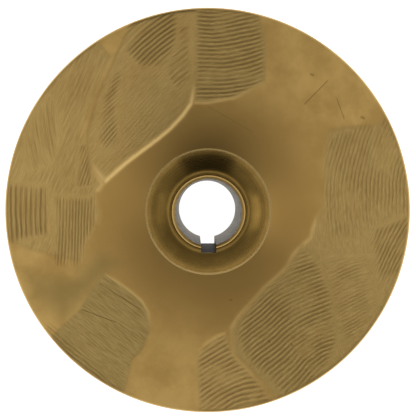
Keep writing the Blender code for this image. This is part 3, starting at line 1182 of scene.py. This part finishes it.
@dataclass
class Vanes:
    """The six curved vanes between the two shrouds."""

    count: int = 6
    inner_radius: float = 0.027
    outer_radius: float = 0.1082
    angle_inner: float = math.radians(31.0)
    angle_outer: float = math.radians(23.0)
    thickness: float = 0.0034
    edge_thickness: float = 0.0022
    edge_share: float = 0.15
    overrun: float = 0.003
    steps: int = 64
    layers: int = 10
    rim_steps: int = 288
    gap: float = 0.0003
    lead_hub: float = 0.02845
    lead_front: float = 0.0520
    sweep_pieces: int = 48

    def turn_at(self, radius: float) -> float:
        """How far round the vane has swept.

        Args:
            radius: how far out.

        Returns:
            The angle from the vane's root, in radians.
        """
        turn, last = 0.0, self.inner_radius
        for piece in range(1, self.sweep_pieces + 1):
            here = self.inner_radius + (radius - self.inner_radius) * piece / self.sweep_pieces
            middle = (here + last) / 2
            share = (middle - self.inner_radius) / (self.outer_radius - self.inner_radius)
            angle = self.angle_inner + (self.angle_outer - self.angle_inner) * share
            turn += math.log(here / last) / math.tan(angle)
            last = here
        return turn

    def place(self, along: float, up: float) -> Vector:
        """A point of the vane's middle sheet, ruled between its lines on the two walls.

        Args:
            along: from 0 at the leading edge to 1 past the rim.
            up: from 0 on the hub's wall to 1 on the front shroud's.

        Returns:
            The point, in metres.
        """
        ends = []
        sides = ((self.lead_hub, HUB_WALL, self.gap), (self.lead_front, FRONT_WALL, -self.gap))
        for lead, wall, gap in sides:
            radius = lead + (self.outer_radius + self.overrun - lead) * along
            ends.append(Vector((radius, wall.depth(radius) + gap)))
        radius, depth = ends[0].lerp(ends[1], up)
        turn = self.turn_at(radius)
        return Vector((radius * math.cos(turn), radius * math.sin(turn), node_box("hub")[1].z - depth))

    def blank(self) -> bmesh.types.BMesh:
        """One vane: a sheet bent to its place, doubled to its two sides and closed round its edges.

        Returns:
            A closed mesh that runs a little past the rim.
        """
        bm = bmesh.new()
        bmesh.ops.create_grid(bm, x_segments=self.steps, y_segments=self.layers, size=0.5)
        halves = {}
        for corner in bm.verts:
            along = corner.co.x + 0.5
            thin = 1.0 - min(1.0, along / self.edge_share)
            halves[corner.index] = (self.thickness - (self.thickness - self.edge_thickness) * thin) / 2
            corner.co = self.place(along, corner.co.y + 0.5)
        bm.normal_update()
        made = bmesh.ops.duplicate(bm, geom=bm.verts[:] + bm.edges[:] + bm.faces[:])
        twins = {made["vert_map"][corner]: corner for corner in list(bm.verts)[: len(halves)]}
        for twin, corner in twins.items():
            shift = corner.normal * halves[corner.index]
            twin.co = corner.co - shift
            corner.co = corner.co + shift
        bmesh.ops.bridge_loops(bm, edges=[edge for edge in bm.edges if edge.is_boundary])
        return bm

    def build(self) -> None:
        """Makes the vanes, each in its place."""
        for number in range(1, self.count + 1):
            bm = self.blank()
            turn = Matrix.Rotation(math.tau * (number - 1) / self.count, 4, "Z")
            bmesh.ops.transform(bm, matrix=turn, verts=bm.verts)
            vane = piece_from(bm, f"curved_vane_{number}", CAST)
            cut(vane, [turned(self.rim_cutter(), self.rim_steps)])
            seat_piece(vane, Slot.CAST, f"vane_{number}")

    def rim_cutter(self) -> list[Point]:
        """The outline of the ring that trims the vanes at the rim, as (radius, height)."""
        inner, outer, top = self.outer_radius, self.outer_radius + 4 * self.overrun, node_box("hub")[1].z
        return [(inner, 0.0), (outer, 0.0), (outer, top), (inner, top)]


# ---- Inlet side ----------------------------------------------------------------------------------


@dataclass
class Screws:
    """The slotted set screws that lock the ring."""

    angles: tuple[float, ...] = (30.0, 150.0, 270.0)
    joint_radius: float = 0.05415
    radius: float = 0.0019
    length: float = 0.0062
    sink: float = 0.0005
    gap: float = 0.0003
    slot_width: float = 0.0007
    slot_depth: float = 0.0010
    edge_round: float = 0.0002
    steps: int = 32

    def place(self, angle: float) -> Matrix:
        """The turn and shift to one screw's hole."""
        shift = Matrix.Translation((self.joint_radius, 0.0, 0.0))
        return Matrix.Rotation(math.radians(angle), 4, "Z") @ shift

    def rod(self, radius: float, bottom: float, top: float, angle: float) -> bmesh.types.BMesh:
        """An upright rod at one screw's place.

        Args:
            radius: the rod's radius.
            bottom: the height of its lower end.
            top: the height of its upper end.
            angle: which way the screw lies, in degrees from +X.

        Returns:
            The closed mesh.
        """
        bm = bmesh.new()
        matrix = self.place(angle) @ Matrix.Translation((0.0, 0.0, (bottom + top) / 2))
        sizes = {"radius1": radius, "radius2": radius, "depth": top - bottom}
        bmesh.ops.create_cone(bm, cap_ends=True, segments=self.steps, matrix=matrix, **sizes)
        return bm

    def holes(self) -> list[bmesh.types.BMesh]:
        """What the holes are cut with."""
        top = self.sink + self.length + self.gap
        return [self.rod(self.radius + self.gap, -0.01, top, angle) for angle in self.angles]

    def build(self) -> None:
        """Makes the screws."""
        for number, angle in enumerate(self.angles, 1):
            bm = self.rod(self.radius, self.sink, self.sink + self.length, angle)
            rims = [edge for edge in bm.edges if any(len(face.verts) > 4 for face in edge.link_faces)]
            bmesh.ops.bevel(
                bm, geom=rims, offset=self.edge_round, segments=2, affect="EDGES", profile=0.5, material=-1
            )
            screw = piece_from(bm, f"slotted_screw_{number}", STEEL)
            slot = bmesh.new()
            deep = 2 * (self.sink + self.slot_depth)
            size = Matrix.Diagonal((4 * self.radius, self.slot_width, deep, 1.0))
            bmesh.ops.create_cube(slot, size=1.0, matrix=self.place(angle) @ size)
            cut(screw, [slot])
            seat_piece(screw, Slot.SCREW, f"wear_ring_screw_{number}")


@dataclass
class InletSide:
    """The front shroud with its eye, and the wear ring on the eye's neck."""

    screws: Screws
    steps: int = 288
    wall: Wall = FRONT_WALL
    rim_thickness: float = 0.0050
    outside: tuple[Point, ...] = ((0.0685, 0.0520), (0.084, 0.0500))
    neck_radius: float = 0.0540
    seat_depth: float = 0.0555
    seat_margin: float = 0.0007
    ring_radius: float = 0.0595
    gap: float = 0.0003
    corner: float = 0.0010

    def shroud_profile(self) -> list[Point]:
        """The closed outline of the front shroud.

        Returns:
            (radius, height) points.
        """
        rim = node_box("front_shroud")[1].x
        bottom = node_box("hub")[1].z - node_box("front_shroud")[0].z
        eye = self.wall.centre[0] - self.wall.halves[0]
        points = [(rim, self.wall.rim_depth)]
        points += self.wall.curve(0.0, math.radians(90.0), 16)
        points += [(eye, bottom), (self.neck_radius, bottom), (self.neck_radius, self.seat_depth)]
        points += [(self.ring_radius + self.seat_margin, self.seat_depth), *self.outside]
        points.append((rim, self.wall.rim_depth + self.rim_thickness))
        return rounded(from_depth(points), self.corner)

    def ring_profile(self) -> list[Point]:
        """The closed outline of the wear ring.

        Returns:
            (radius, height) points.
        """
        bottom = node_box("hub")[1].z - node_box("wear_ring")[0].z
        inner, top = self.neck_radius + self.gap, self.seat_depth + self.gap
        points = [(inner, top), (inner, bottom), (self.ring_radius, bottom), (self.ring_radius, top)]
        return rounded(from_depth(points), self.corner * 0.7)

    def build(self) -> None:
        """Makes the shroud and the ring, with the screws' holes in both."""
        shroud = piece_from(turned(self.shroud_profile(), self.steps), "inlet_shroud", CAST)
        cut(shroud, self.screws.holes())
        seat_piece(shroud, Slot.CAST, "front_shroud")
        ring = piece_from(turned(self.ring_profile(), self.steps), "eye_ring", RING)
        cut(ring, self.screws.holes())
        seat_piece(ring, Slot.RING, "wear_ring")


# ---- Studio --------------------------------------------------------------------------------------


@dataclass(frozen=True)
class Softbox:
    """One soft light: where it hangs, its size in metres, and its radiance."""

    name: str
    place: tuple[float, float, float]
    size: Point
    radiance: float

    def hang(self, aim: Vector) -> None:
        """Adds the light.

        Args:
            aim: the point that it faces.
        """
        light = bpy.data.lights.new(self.name, "AREA")
        light.shape = "RECTANGLE"
        light.size, light.size_y = self.size
        light.energy = self.radiance * math.pi * self.size[0] * self.size[1]
        made = bpy.data.objects.new(self.name, light)
        made.location = self.place
        made.rotation_euler = (aim - Vector(self.place)).to_track_quat("-Z", "Y").to_euler()
        bpy.context.scene.collection.objects.link(made)


@dataclass
class Studio:
    """The pale floor, the soft lights and the camera, which looks nearly straight down the shaft axis."""

    camera_place: tuple[float, float, float] = (-0.0123, 0.0266, 0.864)
    aim: tuple[float, float, float] = (0.0000, 0.0015, 0.042)
    lens: float = 132.8
    floor_size: float = 6.0
    floor_glow: float = 1.0
    floor_shade: float = 0.60
    floor_drop: float = 0.0005
    world: float = 0.34
    board_place: tuple[float, float, float] = (0.0, 0.52, 0.56)
    board_size: Point = (0.62, 1.08)
    board_shade: float = 0.035
    hood_place: tuple[float, float, float] = (0.0, 0.03, 0.96)
    hood_size: Point = (0.34, 0.34)
    softboxes: tuple[Softbox, ...] = (
        Softbox("overhead", (-0.05, 0.07, 1.70), (1.7, 1.55), 1.01),
        Softbox("right side", (1.15, -0.05, 0.75), (0.9, 0.9), 0.88),
        Softbox("left side", (-1.15, 0.05, 0.80), (0.8, 0.9), 0.38),
        Softbox("near side", (0.0, -1.20, 0.85), (1.2, 0.7), 0.05),
    )

    def build(self) -> None:
        """Sets the studio round the wheel."""
        self.lay_floor()
        self.hang_dark("far board", self.board_place, self.board_size, 90.0)
        self.hang_dark("lens hood", self.hood_place, self.hood_size, 0.0)
        for softbox in self.softboxes:
            softbox.hang(Vector((0.0, 0.0, node_box("hub")[1].z)))
        world = bpy.data.worlds.new("studio")
        world.use_nodes = True
        back = world.node_tree.nodes["Background"]
        back.inputs["Color"].default_value = (1.0, 0.99, 0.97, 1.0)
        back.inputs["Strength"].default_value = self.world
        bpy.context.scene.world = world
        bpy.context.scene.view_settings.view_transform = "Standard"
        self.place_camera()

    def sheet(self, name: str, matrix: Matrix, shade: float, roughness: float) -> bpy.types.Object:
        """Adds a flat grey sheet to the stage.

        Args:
            name: its name.
            matrix: what stretches, turns and moves a level sheet one metre across to its place.
            shade: how pale it is, from 0 to 1.
            roughness: how matt it is, from 0 to 1.

        Returns:
            The sheet.
        """
        bm = bmesh.new()
        bmesh.ops.create_grid(bm, x_segments=1, y_segments=1, size=0.5, matrix=matrix)
        mesh = bpy.data.meshes.new(name)
        bm.to_mesh(mesh)
        bm.free()
        material = bpy.data.materials.new(f"{name} grey")
        material.use_nodes = True
        shader = material.node_tree.nodes["Principled BSDF"]
        shader.inputs["Base Color"].default_value = (shade, shade, shade, 1.0)
        shader.inputs["Roughness"].default_value = roughness
        mesh.materials.append(material)
        made = bpy.data.objects.new(name, mesh)
        bpy.context.scene.collection.objects.link(made)
        return made

    def hang_dark(self, name: str, place: tuple[float, float, float], size: Point, tip: float) -> None:
        """Hangs a dark board that only the metal mirrors.

        Args:
            name: the board's name.
            place: its centre.
            size: its width and height in metres.
            tip: its turn about X in degrees, 0 lying level.
        """
        turn = Matrix.Rotation(math.radians(tip), 4, "X") @ Matrix.Diagonal((*size, 1.0, 1.0))
        board = self.sheet(name, Matrix.Translation(place) @ turn, self.board_shade, 1.0)
        board.visible_camera = False

    def lay_floor(self) -> None:
        """A pale floor that glows like a light table."""
        stretch = Matrix.Diagonal((self.floor_size, self.floor_size, 1.0, 1.0))
        drop = Matrix.Translation((0.0, 0.0, -self.floor_drop))
        floor = self.sheet("floor", drop @ stretch, self.floor_shade, 0.9)
        shader = floor.data.materials[0].node_tree.nodes["Principled BSDF"]
        shader.inputs["Emission Color"].default_value = (1.0, 1.0, 1.0, 1.0)
        shader.inputs["Emission Strength"].default_value = self.floor_glow

    def place_camera(self) -> None:
        """The camera, with +Y up in its picture."""
        data = bpy.data.cameras.new("camera")
        data.lens = self.lens
        camera = bpy.data.objects.new("camera", data)
        back = (Vector(self.camera_place) - Vector(self.aim)).normalized()
        right = Vector((0.0, 1.0, 0.0)).cross(back).normalized()
        turn = Matrix((right, back.cross(right), back)).transposed()
        camera.matrix_world = Matrix.Translation(self.camera_place) @ turn.to_4x4()
        bpy.context.scene.collection.objects.link(camera)
        bpy.context.scene.camera = camera


def main() -> None:
    """Builds every piece, in order."""
    logging.basicConfig(level=logging.INFO, format="%(message)s")
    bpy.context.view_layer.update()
    Studio().build()
    bore = KeyedBore()
    screws = Screws()
    for assembly in (BackDisc(), Hub(bore), Sleeve(bore), Vanes(), InletSide(screws), screws):
        assembly.build()


if __name__ == "__main__":
    main()
